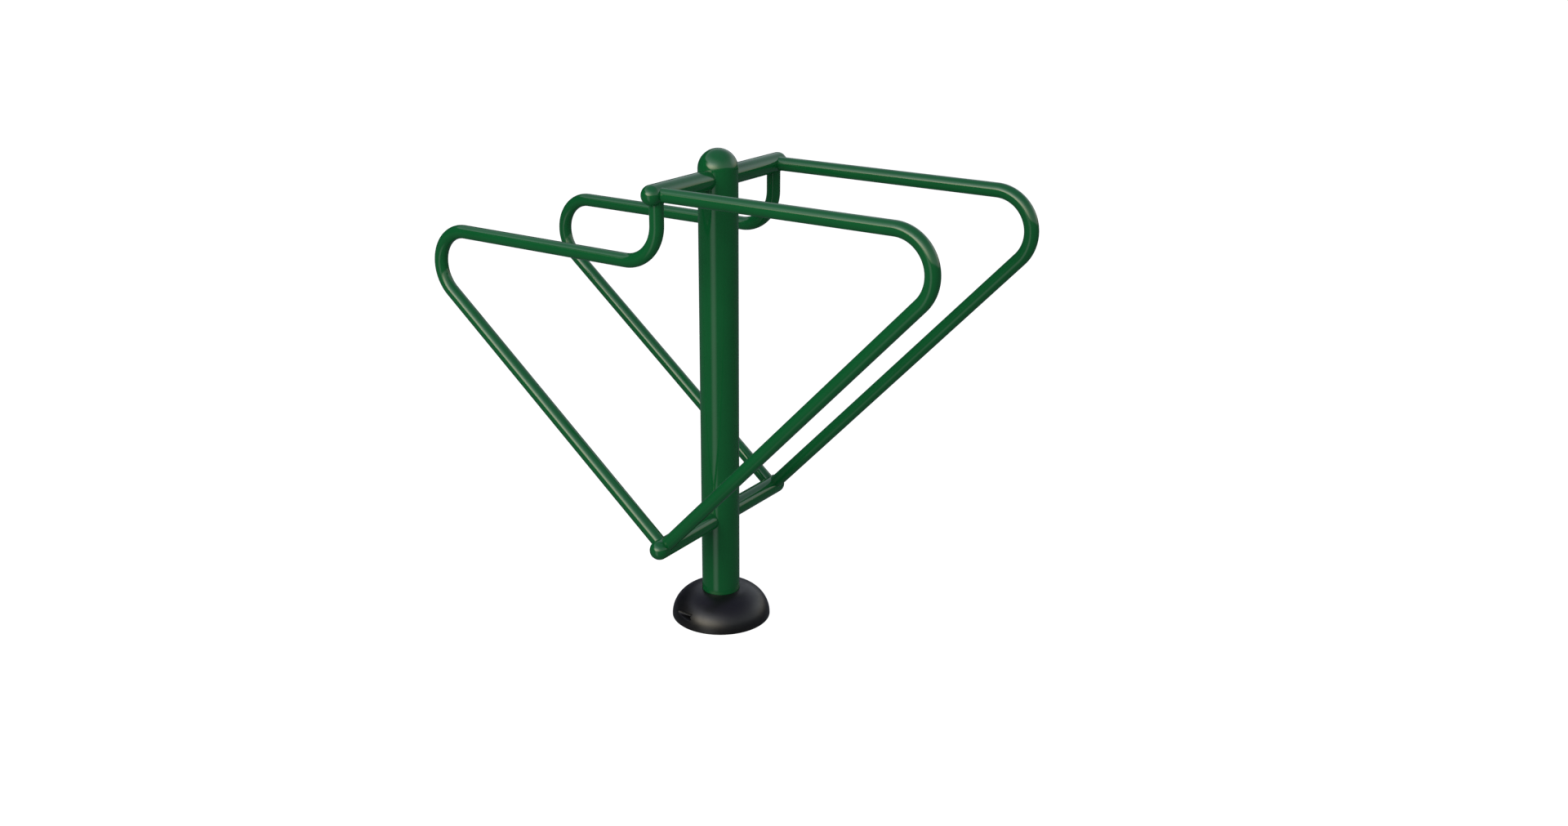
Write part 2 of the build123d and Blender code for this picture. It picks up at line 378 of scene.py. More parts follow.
layers = [
    # The bright warm glow to the left, and a wide pale one round it
    (soft_patch(5.0, 278, (0, 56), (4, 18), (18, 44)), (1.0, 0.97, 0.90, 1), "ADD"),
    (soft_patch(1.6, 284, (0, 90), (-2, 6), (28, 72)), (1.0, 1.03, 1.12, 1), "ADD"),
    # The weak cool glow to the right
    (soft_patch(0.6, 122, (4, 32), (0, 12), (20, 44)), (1.0, 1.06, 1.1, 1), "ADD"),
    # The warm haze low over the skyline, on the left and on the right
    (soft_patch(1.0, 274, (20, 90), (-30, -20), (12, 42)), (1.0, 0.90, 0.71, 1), "MULTIPLY"),
    (soft_patch(1.0, 115, (10, 40), (-30, -20), (4, 24)), (1.0, 0.88, 0.70, 1), "MULTIPLY"),
    # The dim ground, the dark gap, and the upright streak below the glow
    (ground, (0.085, 0.093, 0.115, 1), "MIX"),
    (soft_patch(1.0, 350, (25, 60), (-14, 6), (34, 38)), (0.01, 0.015, 0.03, 1), "MIX"),
    (soft_patch(0.8, 266, (4, 22), (-68, -22), (-3, 12)), (1.0, 1.02, 1.04, 1), "ADD"),
]
for share, colour, how in layers:
    picture = add_node(
        tent_tree, "ShaderNodeMix", {"Factor": share, "A": picture, "B": colour},
        data_type="RGBA", blend_type=how, clamp_factor=False,
    )
tent_light = add_node(tent_tree, "ShaderNodeEmission", {"Color": picture, "Strength": 1.0})
add_node(tent_tree, "ShaderNodeOutputMaterial", {"Surface": tent_light})
cloth.cycles.emission_sampling = "NONE"
print("layers on the tent:", len(layers), "nodes:", len(tent_tree.nodes))

# %% [markdown]
# The paint is polyester powder coat, sprayed dry on zinc-primed steel and baked until it flows out.
# The baked film is a hard gloss with very shallow waves a millimetre or two apart, called orange
# peel. They break the edge of every reflection a little. The green is dense and even, with hardly
# any drift from batch and film thickness. So the tree has a slow, faint drift between two greens
# over 120 mm, a gloss that varies over 30 mm, and the waves as a very shallow bump, 1.6 mm apart.

# %% Green powder coat
DRIFT_WIDTH, FLOW_WIDTH, PEEL_WIDTH, PEEL_DEPTH = 0.12, 0.03, 0.0016, 0.00002


def new_finish(name):
    """A material with an empty tree, and the places on the piece in metres."""
    material = bpy.data.materials.new(name)
    tree = empty_tree(material)
    place = add_node(tree, "ShaderNodeTexCoord").outputs["Object"]
    return material, tree, place


powder_coat, tree, place = new_finish("green polyester powder coat on steel")
drift = add_node(
    tree, "ShaderNodeTexNoise", {"Vector": place, "Scale": 1 / DRIFT_WIDTH, "Detail": 2.0}
)
green = add_node(
    tree, "ShaderNodeMix", {"Factor": drift, "A": linear("#0A4B24"), "B": linear("#0D5229")},
    data_type="RGBA",
)
flow = add_node(
    tree, "ShaderNodeTexNoise", {"Vector": place, "Scale": 1 / FLOW_WIDTH, "Detail": 4.0}
)
gloss = add_node(
    tree, "ShaderNodeMapRange",
    {"Value": flow, "From Min": 0.3, "From Max": 0.7, "To Min": 0.09, "To Max": 0.12},
)
peel = add_node(
    tree, "ShaderNodeTexNoise", {"Vector": place, "Scale": 1 / PEEL_WIDTH, "Detail": 1.0}
)
waves = add_node(
    tree, "ShaderNodeBump", {"Height": peel, "Strength": 0.25, "Distance": PEEL_DEPTH}
)
paint = add_node(
    tree, "ShaderNodeBsdfPrincipled",
    {"Base Color": green, "Roughness": gloss, "IOR": 1.5, "Normal": waves},
)
add_node(tree, "ShaderNodeOutputMaterial", {"Surface": paint})
print(powder_coat.name, len(tree.nodes), "nodes")

# %% [markdown]
# The cover is moulded from black polyethylene in a mould with a fine etched grain, which keeps
# fingerprints and scratches from showing. Against light it looks satin: broad soft glows instead of
# sharp reflections. The real grain is 0.1 to 0.2 mm, too fine to show in the render, so it is drawn
# 0.6 mm coarse as a shallow bump. Light is also lost in its pits, so the IOR is a little under
# polyethylene's own 1.51. Dust settles in the grain near the ground, so the lowest two centimetres
# are a shade greyer, in blotches of about 12 mm.

# %% Black moulded plastic
GRAIN_WIDTH, GRAIN_DEPTH = 0.0006, 0.00003
BLOTCH_WIDTH, DUST_HEIGHT = 0.012, 0.02

cover_plastic, tree, place = new_finish("black moulded polyethylene with etched grain")
up = add_node(tree, "ShaderNodeSeparateXYZ", {0: place}).outputs["Z"]
low_down = add_node(
    tree, "ShaderNodeMapRange",
    {"Value": up, "From Min": 0.002, "From Max": DUST_HEIGHT, "To Min": 0.3, "To Max": 0.0},
)
blotches = add_node(
    tree, "ShaderNodeTexNoise", {"Vector": place, "Scale": 1 / BLOTCH_WIDTH, "Detail": 5.0}
)
dust = add_node(tree, "ShaderNodeMath", {0: low_down, 1: blotches}, operation="MULTIPLY")
black = add_node(
    tree, "ShaderNodeMix", {"Factor": dust, "A": linear("#0A0A0A"), "B": linear("#25231F")},
    data_type="RGBA",
)
satin = add_node(
    tree, "ShaderNodeMapRange",
    {"Value": blotches, "From Min": 0.3, "From Max": 0.7, "To Min": 0.32, "To Max": 0.37},
)
etched = add_node(
    tree, "ShaderNodeTexNoise", {"Vector": place, "Scale": 1 / GRAIN_WIDTH, "Detail": 2.0}
)
pits = add_node(
    tree, "ShaderNodeBump", {"Height": etched, "Strength": 0.2, "Distance": GRAIN_DEPTH}
)
plastic = add_node(
    tree, "ShaderNodeBsdfPrincipled",
    {"Base Color": black, "Roughness": satin, "IOR": 1.46, "Normal": pits},
)
add_node(tree, "ShaderNodeOutputMaterial", {"Surface": plastic})
print(cover_plastic.name, len(tree.nodes), "nodes")

# %% [markdown]
# The screws are steel with a baked black lacquer, so that they hide in the black pocket, as they do
# in the photograph. Lacquer over a cold-headed screw is a thin satin film. It rubs through to grey
# steel in tiny specks, here 0.8 mm apart.

# %% Black screws
SPECK_WIDTH = 0.0008

black_screw, tree, place = new_finish("steel screw with baked black lacquer")
rubbed = add_node(
    tree, "ShaderNodeTexNoise", {"Vector": place, "Scale": 1 / SPECK_WIDTH, "Detail": 4.0}
)
worn = add_node(
    tree, "ShaderNodeMapRange", {"Value": rubbed, "From Min": 0.62, "From Max": 0.72},
    interpolation_type="SMOOTHSTEP",
)
shade = add_node(
    tree, "ShaderNodeMix", {"Factor": worn, "A": linear("#101112"), "B": linear("#4A4A4B")},
    data_type="RGBA",
)
dull = add_node(
    tree, "ShaderNodeMapRange", {"Value": rubbed, "To Min": 0.28, "To Max": 0.42}
)
lacquer = add_node(
    tree, "ShaderNodeBsdfPrincipled", {"Base Color": shade, "Roughness": dull, "IOR": 1.5}
)
add_node(tree, "ShaderNodeOutputMaterial", {"Surface": lacquer})
print(black_screw.name, len(tree.nodes), "nodes")

# %% [markdown]
# The inserts that the screws turn into are turned brass, seen only when the cover is taken apart: a
# warm yellow metal with rings from the tool, 1.2 mm apart.

# %% Brass inserts
RING_WIDTH, RING_DEPTH = 0.0012, 0.00005

brass, tree, place = new_finish("turned brass")
tool_rings = add_node(
    tree, "ShaderNodeTexWave", {"Vector": place, "Scale": 1 / RING_WIDTH, "Distortion": 0.4},
    wave_type="BANDS", bands_direction="Y",
).outputs["Fac"]
shade = add_node(
    tree, "ShaderNodeMix", {"Factor": tool_rings, "A": linear("#B8923F"), "B": linear("#D2AC57")},
    data_type="RGBA",
)
cut = add_node(
    tree, "ShaderNodeBump", {"Height": tool_rings, "Strength": 0.3, "Distance": RING_DEPTH}
)
yellow_metal = add_node(
    tree, "ShaderNodeBsdfPrincipled",
    {"Base Color": shade, "Metallic": 1.0, "Roughness": 0.3, "Normal": cut},
)
add_node(tree, "ShaderNodeOutputMaterial", {"Surface": yellow_metal})
print("finishes:", [m.name for m in bpy.data.materials])

# %% [markdown]
# The tubes, caps and balls are skins over rings of points. One helper turns the rings into points
# and faces, and another makes a closed mesh object of them, with its faces outwards.

# %% Helpers for skins
MERGE_DISTANCE = 1e-7


def skin_rings(rings):
    """Points and faces of a skin over rings of equal length, with a fan on both end points."""
    around = len(rings[0])
    points = [p for ring in rings for p in ring]
    faces = []
    for k in range(len(rings) - 1):
        for j in range(around):
            a, b = k * around + j, k * around + (j + 1) % around
            faces.append((a, b, b + around, a + around))
    for first, ring in ((0, rings[0]), ((len(rings) - 1) * around, rings[-1])):
        middle = len(points)
        points.append(tuple(np.mean(ring, axis=0)))
        faces += [(first + j, first + (j + 1) % around, middle) for j in range(around)]
    return points, faces


def object_from(name, points, faces, material):
    """A mesh object from points and faces, smooth shaded, with its faces outwards."""
    mesh = bpy.data.meshes.new(name)
    mesh.from_pydata([tuple(p) for p in points], [], faces)
    form = bmesh.new()
    form.from_mesh(mesh)
    bmesh.ops.remove_doubles(form, verts=form.verts, dist=MERGE_DISTANCE)
    bmesh.ops.recalc_face_normals(form, faces=form.faces)
    if form.calc_volume(signed=True) < 0:
        bmesh.ops.reverse_faces(form, faces=form.faces)
    form.to_mesh(mesh)
    form.free()
    mesh.shade_smooth()
    mesh.materials.append(material)
    return add_object(name, mesh)


print("corners are merged within", MERGE_DISTANCE, "m")

# %% [markdown]
# Gloss shows every fault in a surface's normals, such as a kink where a tube passes into a bend.
# The shapes here follow simple rules, so the exact normal is known at each point. The helper writes
# it onto the faces that lie on the ruled surface, and leaves the flat normal on all others, such as
# a cut end.

# %% Helpers for exact normals
SAME_WAY = 0.8


def corners_of(mesh):
    """Each face corner's vertex and flat normal, and the number of corners of each face."""
    vertices = np.empty(len(mesh.loops), int)
    mesh.loops.foreach_get("vertex_index", vertices)
    counts = np.empty(len(mesh.polygons), int)
    mesh.polygons.foreach_get("loop_total", counts)
    normals = np.empty(len(mesh.polygons) * 3)
    mesh.polygons.foreach_get("normal", normals)
    return vertices, np.repeat(normals.reshape(-1, 3), counts, axis=0), counts


def unit_rows(rows):
    """Directions made one long. A row of zeros stays as it is."""
    return rows / np.maximum(np.linalg.norm(rows, axis=1, keepdims=True), 1e-12)


def set_exact_normals(piece, rule):
    """Writes the rule's normal on each corner of a face that lies along it."""
    mesh = piece.data
    vertices, flat, _ = corners_of(mesh)
    exact = unit_rows(rule(vertices_of(mesh)[vertices]))
    fits = (exact * flat).sum(1) > SAME_WAY
    exact[~fits] = flat[~fits]
    mesh.normals_split_custom_set(exact.tolist())
    return round(float(fits.mean()), 3)


print("a rule holds within", round(math.degrees(math.acos(SAME_WAY))), "degrees of the flat face")

# %% [markdown]
# The post is a length of steel tube with a pressed half ball welded on top and ground flush, so the
# cap passes into the tube with no visible seam. It could be a cylinder and a sphere, but the poles
# and the joint would show in the gloss. Instead its outline is turned round the axis as one skin:
# down the inside of the wall, out over the cut end at the foot, up the outside and over the ball.

# %% Post with its domed cap
POST_AROUND, POST_STEPS = 128, 24
POST_INNER_STEPS, POST_DOME_STEPS = 24, 40


def ring(radius, height):
    """A ring of points round the post's axis."""
    angles = np.arange(POST_AROUND) * 2 * math.pi / POST_AROUND
    heights = np.full(POST_AROUND, height)
    return np.stack([radius * np.cos(angles), radius * np.sin(angles), heights], 1)


def quarter(radius, count):
    """Distances out and up along a quarter circle, from the widest place almost to the pole."""
    angles = np.linspace(0, math.pi / 2, count + 1)[:-1]
    return [(radius * math.cos(a), radius * math.sin(a)) for a in angles]


bore = POST_RADIUS - POST_WALL
outline = [(r, SEAM + h) for r, h in reversed(quarter(bore, POST_INNER_STEPS))]
outline += [(bore, FOOT), (POST_RADIUS, FOOT)]
outline += [(POST_RADIUS, FOOT + (SEAM - FOOT) * k / POST_STEPS) for k in range(1, POST_STEPS)]
outline += [(r, SEAM + h) for r, h in quarter(POST_RADIUS, POST_DOME_STEPS)]
points, faces = skin_rings([ring(r, h) for r, h in outline])
points[-2] = (0, 0, SEAM + bore)
points[-1] = (0, 0, SEAM + POST_RADIUS)
post = object_from("post", points, faces, powder_coat)


def post_rule(places):
    """Outwards from the axis up to the seam, and from the ball's middle above it."""
    out = places.copy()
    out[:, 2] = np.maximum(places[:, 2] - SEAM, 0)
    inside = np.linalg.norm(out, axis=1) < POST_RADIUS - POST_WALL / 2
    out[inside] *= -1
    return out


share = set_exact_normals(post, post_rule)
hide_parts("post_tube", "post_dome_cap")
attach(post, "station_frame")
print("post:", len(post.data.vertices), "points, exact normals on", share)

# %% [markdown]
# Each arm is a short tube, cut at its inner end to the curve of the post and closed at its outer
# end by a pressed half ball. It is one skin again, along X this time. The inner ring's points slide
# along the arm until they touch the post, which gives the saddle-shaped joint that shows next to
# the post.

# %% Arms with their ball ends
ARM_AROUND, ARM_STEPS, BALL_STEPS = 96, 12, 28
FIRST_RING_GAP = 0.004


def arm_skin(sign, height):
    """Points and faces from the post out to the ball's pole."""
    angles = np.arange(ARM_AROUND) * 2 * math.pi / ARM_AROUND
    side, up = ARM_RADIUS * np.cos(angles), ARM_RADIUS * np.sin(angles)
    above_seam = np.maximum(height + up - SEAM, 0)
    saddle = np.sqrt(POST_RADIUS**2 - side**2 - above_seam**2)
    straight = np.linspace(POST_RADIUS + FIRST_RING_GAP, ARM_END, ARM_STEPS)
    stations = [saddle] + [np.full(ARM_AROUND, x) for x in straight]
    rings = [np.stack([sign * x, side, height + up], 1) for x in stations]
    for r, along in quarter(ARM_RADIUS, BALL_STEPS)[1:]:
        share = r / ARM_RADIUS
        out = np.full(ARM_AROUND, sign * (ARM_END + along))
        rings.append(np.stack([out, side * share, height + up * share], 1))
    points, faces = skin_rings(rings)
    points[-2] = (sign * POST_RADIUS, 0, height)
    points[-1] = (sign * (ARM_END + ARM_RADIUS), 0, height)
    return points, faces


for level, height in ARM_HEIGHTS.items():
    for side_name, sign in LEFT_AND_RIGHT.items():
        points, faces = arm_skin(sign, height)
        arm = object_from(f"{level}_arm_with_ball_{side_name}", points, faces, powder_coat)

        def arm_rule(places, sign=sign, height=height):
            """Outwards from the arm's axis, and from the ball's middle past its end."""
            past = np.maximum(places[:, 0] * sign - ARM_END, 0) * sign
            return np.stack([past, places[:, 1], places[:, 2] - height], 1)

        share = set_exact_normals(arm, arm_rule)
        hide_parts(f"{level}_arm_{side_name}", f"{level}_arm_cap_{side_name}")
        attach(arm, "station_frame")
        print(arm.name, len(arm.data.vertices), "points, exact normals on", share)

# %% [markdown]
# The bars are bent tubes, and a bent tube follows a rule: straight runs joined by arcs of the
# bending die's radius. So Geometry Nodes make them. The script gives only the corners of the line
# and the radius at each corner. The tree rounds the corners as a bending machine does, and runs a
# round profile along the line.


# %% Geometry Nodes tree for a bent tube
def new_tree(name, inputs):
    """A Geometry Nodes tree with named inputs, and the nodes at its two ends."""
    tree = bpy.data.node_groups.new(name, "GeometryNodeTree")
    for label, kind in {"Geometry": "Geometry", **inputs}.items():
        tree.interface.new_socket(label, in_out="INPUT", socket_type=f"NodeSocket{kind}")
    tree.interface.new_socket("Geometry", in_out="OUTPUT", socket_type="NodeSocketGeometry")
    return tree, tree.nodes.new("NodeGroupInput").outputs, tree.nodes.new("NodeGroupOutput")


tube_tree, given, result = new_tree("bent tube", {
    "Tube Radius": "Float", "Steps per Bend": "Int", "Sides": "Int", "Finish": "Material",
})
line = add_node(tube_tree, "GeometryNodeMeshToCurve", {"Mesh": given["Geometry"]})
bend_radius = add_node(
    tube_tree, "GeometryNodeInputNamedAttribute", {"Name": "bend_radius"}, data_type="FLOAT"
).outputs["Attribute"]
bent = add_node(
    tube_tree, "GeometryNodeFilletCurve",
    {"Curve": line, "Count": given["Steps per Bend"], "Radius": bend_radius}, mode="POLY",
)
profile = add_node(
    tube_tree, "GeometryNodeCurvePrimitiveCircle",
    {"Resolution": given["Sides"], "Radius": given["Tube Radius"]},
)
skin = add_node(
    tube_tree, "GeometryNodeCurveToMesh", {"Curve": bent, "Profile Curve": profile}
)
real = add_node(tube_tree, "GeometryNodeRealizeInstances", {"Geometry": skin})
coated = add_node(
    tube_tree, "GeometryNodeSetMaterial", {"Geometry": real, "Material": given["Finish"]}
)
tube_tree.links.new(coated.outputs[0], result.inputs[0])
print(tube_tree.name, len(tube_tree.nodes), "nodes")

# %% [markdown]
# A tree runs as a modifier on a start mesh. The export needs plain meshes, so the result is taken
# from the evaluated object, and the start mesh and its modifier go.


# %% Helpers to run a tree
def plain_mesh(holder):
    """The mesh that an object's modifiers make. The object and its start mesh are removed."""
    bpy.context.view_layer.update()
    evaluated = holder.evaluated_get(bpy.context.evaluated_depsgraph_get())
    mesh = bpy.data.meshes.new_from_object(evaluated)
    start_mesh = holder.data
    bpy.data.objects.remove(holder)
    bpy.data.meshes.remove(start_mesh)
    return mesh


def grow(name, start_mesh, tree, values):
    """Runs a tree on a mesh, with a value for each of its inputs, and returns the new mesh."""
    seed = add_object(f"{name}_start", start_mesh)
    modifier = seed.modifiers.new("grow", "NODES")
    modifier.node_group = tree
    for item in tree.interface.items_tree:
        if item.in_out == "INPUT" and item.name in values:
            modifier[item.identifier] = values[item.name]
    mesh = plain_mesh(seed)
    mesh.name = name
    mesh.polygons.foreach_set("material_index", [0] * len(mesh.polygons))
    mesh.materials.clear()
    mesh.materials.append(values["Finish"])
    return mesh


print("inputs of", tube_tree.name, [item.name for item in tube_tree.interface.items_tree][1:])

# %% [markdown]
# A bar's corners lie where its straight runs would meet if they weren't bent. The level run is
# known, and the slanted leg has to touch the hairpin's arc and end in the middle of the lower arm.
# That fixes its slope, and with the slope the corner, far outside the bend.


# %% Corners of a bar
def bar_corners(run_height, reach, drops_first):
    """Corners as (outwards, height, bend radius), from the upper arm to the lower arm."""
    run_end = reach - END_BEND
    rise = run_height - END_BEND - ARM_HEIGHTS["lower"]
    slope = math.atan2(rise, run_end) - math.asin(END_BEND / math.hypot(run_end, rise))
    corner = (run_height - ARM_HEIGHTS["lower"]) / math.tan(slope)
    corners = [(0, ARM_HEIGHTS["upper"], 0)]
    if drops_first:
        corners.append((0, run_height, DROP_BEND))
    corners += [(corner, run_height, END_BEND), (0, ARM_HEIGHTS["lower"], 0)]
    return corners, math.degrees(slope)


def corner_mesh(corners, across, outwards):
    """The corners as a chain of edges, with the bend radius on each point."""
    mesh = bpy.data.meshes.new("bar_line")
    points = [(across, outwards * out, up) for out, up, _ in corners]
    mesh.from_pydata(points, [(k, k + 1) for k in range(len(corners) - 1)], [])
    radii = mesh.attributes.new("bend_radius", "FLOAT", "POINT")
    radii.data.foreach_set("value", [bend for _, _, bend in corners])
    return mesh


bar_lines = {}
for kind, reach in REACHES.items():
    bar_lines[kind], slope = bar_corners(RUN_HEIGHTS[kind], reach, kind == "push_up")
    rounded = [(round(out, 3), round(up, 3), bend) for out, up, bend in bar_lines[kind]]
    print(kind, "leg slope", round(slope, 2), "corners", rounded)

# %% [markdown]
# The tree leaves both ends of a bar cut straight, in the middle of an arm. So the script slides the
# points of each end along the tube until they touch the arm, as a coping saw would leave them.

# %% Grow the four bars and cope their ends
BAR_AROUND, BEND_STEPS = 64, 40


def cope(end_ring, direction, arm_height):
    """Slides a ring's points along the tube to where they meet the surface of an arm."""
    start = end_ring.copy()
    start[:, 2] -= arm_height
    a = direction[1] ** 2 + direction[2] ** 2
    b = 2 * (start[:, 1] * direction[1] + start[:, 2] * direction[2])
    c = start[:, 1] ** 2 + start[:, 2] ** 2 - ARM_RADIUS**2
    return end_ring + ((-b + np.sqrt(b * b - 4 * a * c)) / (2 * a))[:, None] * direction


for kind, outwards in OUTWARDS.items():
    for side_name, sign in LEFT_AND_RIGHT.items():
        name = f"{kind}_bar_tube_{side_name}"
        start_mesh = corner_mesh(bar_lines[kind], sign * BAR_PLACE, outwards)
        tube = grow(name, start_mesh, tube_tree, {
            "Tube Radius": BAR_RADIUS, "Steps per Bend": BEND_STEPS, "Sides": BAR_AROUND,
            "Finish": powder_coat,
        })
        rings = vertices_of(tube).reshape(-1, BAR_AROUND, 3)
        bpy.data.meshes.remove(tube)
        middles = rings.mean(axis=1)
        exact = rings - middles[:, None, :]
        for end, following in ((0, 1), (-1, -2)):
            direction = middles[following] - middles[end]
            direction /= np.linalg.norm(direction)
            rings[end] = cope(rings[end], direction, middles[end][2])
        bar = object_from(name, *skin_rings(list(rings)), powder_coat)
        all_points, all_normals = rings.reshape(-1, 3), exact.reshape(-1, 3)
        lookup = {tuple(np.round(p, 7)): n for p, n in zip(all_points, all_normals)}

        def bar_rule(places, lookup=lookup):
            """Outwards from the tube's own middle line."""
            return np.array([lookup.get(tuple(np.round(p, 7)), (0, 0, 0)) for p in places])

        share = set_exact_normals(bar, bar_rule)
        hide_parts(f"{kind}_bar_{side_name}")
        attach(bar, "station_frame")
        print(name, rings.shape, "exact normals on", share)

# %% [markdown]
# The cover is two equal half shells with a wedge-shaped pocket for each screw. Its CAD shape is
# already right, with the pocket's leaning wall, falling floor and rounded mouth, so each half
# starts as a copy of the CAD mesh. The dome could keep its facets' smoothed normals, but they would
# break up the satin glow. So the faces on the dome get the exact normal of its elliptical outline.

# %% Exact normals for the cover's dome
COVER_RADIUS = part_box("cover_half_rear")[1].x
COVER_HEIGHT = 0.0865
COLLAR_RADIUS = POST_RADIUS + 0.0005
DOME_TOLERANCE = 0.004
NEARLY_SAME_WAY = 0.9


def cover_rule(places):
    """The outwards direction of the elliptical dome, or nothing off it."""
    out = np.hypot(places[:, 0], places[:, 1])
    across = COVER_RADIUS - COLLAR_RADIUS
    u, v = (out - COLLAR_RADIUS) / across, places[:, 2] / COVER_HEIGHT
    on_dome = np.abs(u * u + v * v - 1) < DOME_TOLERANCE
    radial = u / across / np.maximum(out, 1e-9)
    exact = np.stack([places[:, 0] * radial, places[:, 1] * radial, v / COVER_HEIGHT], 1)
    exact[~on_dome] = 0
    return exact


def follow_dome(mesh):
    """Gives the exact normal to each face on the dome, and to the edges that run into it."""
    normals = np.array([tuple(corner.vector) for corner in mesh.corner_normals])
    vertices, flat, counts = corners_of(mesh)
    exact = unit_rows(cover_rule(vertices_of(mesh)[vertices]))
    first_corners = np.cumsum(counts) - counts
    least_along = np.minimum.reduceat((exact * flat).sum(1), first_corners)
    on_dome_face = np.repeat(least_along > SAME_WAY, counts)
    fits = on_dome_face | ((exact * normals).sum(1) > NEARLY_SAME_WAY)
    normals[fits] = exact[fits]
    mesh.normals_split_custom_set(normals.tolist())
    return round(float(fits.mean()), 3)


print("cover radius", round(COVER_RADIUS, 4), "collar radius", round(COLLAR_RADIUS, 5))

# %% [markdown]
# The copy's loose triangles are merged, and creases are kept only at real edges. The pocket's
# narrow rounding has a few coarse facets, and they bend the smooth normals of the flat wall beside
# it. Weighted normals lean on the large faces instead, so that the wall stays flat up to its
# rounded edge and catches the light in one even band.

# %% Cover halves
CREASE = math.radians(35)
TRIANGLE_MERGE_DISTANCE = 1e-6
COVER_SHELLS = {"cover_half_front": "cover_shell_front", "cover_half_rear": "cover_shell_rear"}


def merged_copy(mesh):
    """A copy of a CAD mesh with its loose triangles merged, smooth but for its real edges."""
    copy = mesh.copy()
    form = bmesh.new()
    form.from_mesh(copy)
    bmesh.ops.remove_doubles(form, verts=form.verts, dist=TRIANGLE_MERGE_DISTANCE)
    bmesh.ops.dissolve_degenerate(form, edges=form.edges, dist=MERGE_DISTANCE)
    for face in form.faces:
        face.smooth = True
    form.to_mesh(copy)
    form.free()
    copy.set_sharp_from_angle(angle=CREASE)
    return copy


for node_name, name in COVER_SHELLS.items():
    holder = add_object(f"{name}_start", merged_copy(nodes[node_name].data))
    holder.modifiers.new("weigh", "WEIGHTED_NORMAL").keep_sharp = True
    mesh = plain_mesh(holder)
    mesh.name = name
    share = follow_dome(mesh)
    mesh.materials.clear()
    mesh.materials.append(cover_plastic)
    half = add_object(name, mesh)
    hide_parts(node_name)
    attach(half, "base_cover")
    print(name, len(mesh.polygons), "faces, exact dome normals on", share)

# %% [markdown]
# Two equal screws hold the halves together, one in each pocket. A screw head is a round profile
# whose radius follows a rule: full up to where the rounding starts, then a quarter circle inwards.
# So Geometry Nodes sweep a circle along the screw's axis with that radius.

# %% Geometry Nodes tree for the cover's screws
HEAD_STEPS, HEAD_AROUND = 48, 48

screw_tree, given, result = new_tree("socket screws", {
    "Head Radius": "Float", "Head Height": "Float", "Rounding": "Float", "Shank Radius": "Float",
    "Shank Length": "Float", "Key Size": "Float", "Key Depth": "Float", "Finish": "Material",
})
head_top = add_node(screw_tree, "ShaderNodeCombineXYZ", {"Z": given["Head Height"]})
head_axis = add_node(screw_tree, "GeometryNodeCurvePrimitiveLine", {"End": head_top})
head_axis = add_node(
    screw_tree, "GeometryNodeResampleCurve", {"Curve": head_axis, "Count": HEAD_STEPS}
)
up_axis = add_node(screw_tree, "GeometryNodeSplineParameter").outputs["Length"]
flat_part = add_node(
    screw_tree, "ShaderNodeMath", {0: given["Head Height"], 1: given["Rounding"]},
    operation="SUBTRACT",
)
past_flat = add_node(screw_tree, "ShaderNodeMath", {0: up_axis, 1: flat_part}, operation="SUBTRACT")
past_flat = add_node(screw_tree, "ShaderNodeMath", {0: past_flat, 1: 0.0}, operation="MAXIMUM")
past_squared, rounding_squared = (
    add_node(screw_tree, "ShaderNodeMath", {0: value, 1: value}, operation="MULTIPLY")
    for value in (past_flat, given["Rounding"])
)
left_over = add_node(
    screw_tree, "ShaderNodeMath", {0: rounding_squared, 1: past_squared}, operation="SUBTRACT"
)
bulge = add_node(screw_tree, "ShaderNodeMath", {0: left_over}, operation="SQRT")
core = add_node(
    screw_tree, "ShaderNodeMath", {0: given["Head Radius"], 1: given["Rounding"]},
    operation="SUBTRACT",
)
head_radius = add_node(screw_tree, "ShaderNodeMath", {0: core, 1: bulge}, operation="ADD")
head_circle = add_node(
    screw_tree, "GeometryNodeCurvePrimitiveCircle", {"Resolution": HEAD_AROUND, "Radius": 1.0}
)
head = add_node(
    screw_tree, "GeometryNodeCurveToMesh",
    {"Curve": head_axis, "Profile Curve": head_circle, "Scale": head_radius, "Fill Caps": True},
)
print(screw_tree.name, "up to its head:", len(screw_tree.nodes), "nodes")

# %% [markdown]
# The tree goes on with the hexagon socket. A short hexagon bar cuts it out of the head, and sticks
# out above the head too, so that no thin skin is left over the socket. Then come the shank and a
# copy on each of two points, turned the way that point faces.

# %% Socket, shank and copies
SHANK_AROUND = 32

across_corners = add_node(
    screw_tree, "ShaderNodeMath", {0: given["Key Size"], 1: math.sqrt(3)}, operation="DIVIDE"
)
key_length = add_node(
    screw_tree, "ShaderNodeMath", {0: given["Key Depth"], 1: 2.0}, operation="MULTIPLY"
)
key = add_node(
    screw_tree, "GeometryNodeMeshCylinder",
    {"Vertices": 6, "Radius": across_corners, "Depth": key_length},
)
key = add_node(screw_tree, "GeometryNodeTransform", {"Geometry": key, "Translation": head_top})
head = add_node(
    screw_tree, "GeometryNodeMeshBoolean", {0: head, 1: key}, operation="DIFFERENCE", solver="EXACT"
)
shank_end = add_node(
    screw_tree, "ShaderNodeMath", {0: given["Shank Length"], 1: -1.0}, operation="MULTIPLY"
)
shank_end = add_node(screw_tree, "ShaderNodeCombineXYZ", {"Z": shank_end})
shank_axis = add_node(
    screw_tree, "GeometryNodeCurvePrimitiveLine", {"Start": shank_end, "End": (0, 0, 0)}
)
shank_circle = add_node(
    screw_tree, "GeometryNodeCurvePrimitiveCircle",
    {"Resolution": SHANK_AROUND, "Radius": given["Shank Radius"]},
)
